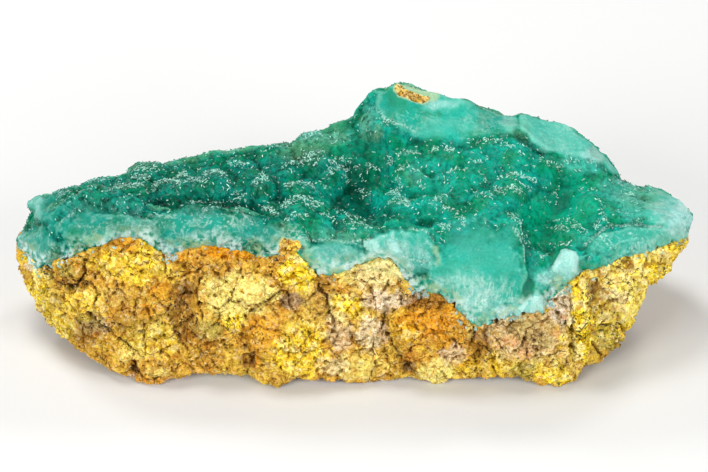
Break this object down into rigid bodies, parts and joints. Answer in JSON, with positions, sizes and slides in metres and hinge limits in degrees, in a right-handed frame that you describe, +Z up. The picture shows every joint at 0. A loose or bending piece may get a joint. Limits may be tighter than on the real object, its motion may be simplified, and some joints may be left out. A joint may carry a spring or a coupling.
{
  "type": "hemimorphite specimen",
  "caption": "Mineral specimen: blue-green botryoidal hemimorphite crust with a peak at the back, on broken ochre limonite matrix.",
  "frame": {"origin": "on the surface that the stone rests on, under the middle of its box", "axes": "+X along the stone's length, +Y from its broken front face to its back, +Z up"},
  "size_m": [0.0908, 0.0368, 0.0293],
  "materials": {
    "hemimorphite": "vitreous, translucent, with fine druse",
    "limonite": "rough, earthy"
  },
  "bodies": {
    "root": {"hemimorphite_crust": "hemimorphite", "limonite_matrix": "limonite"}
  },
  "joints": []
}
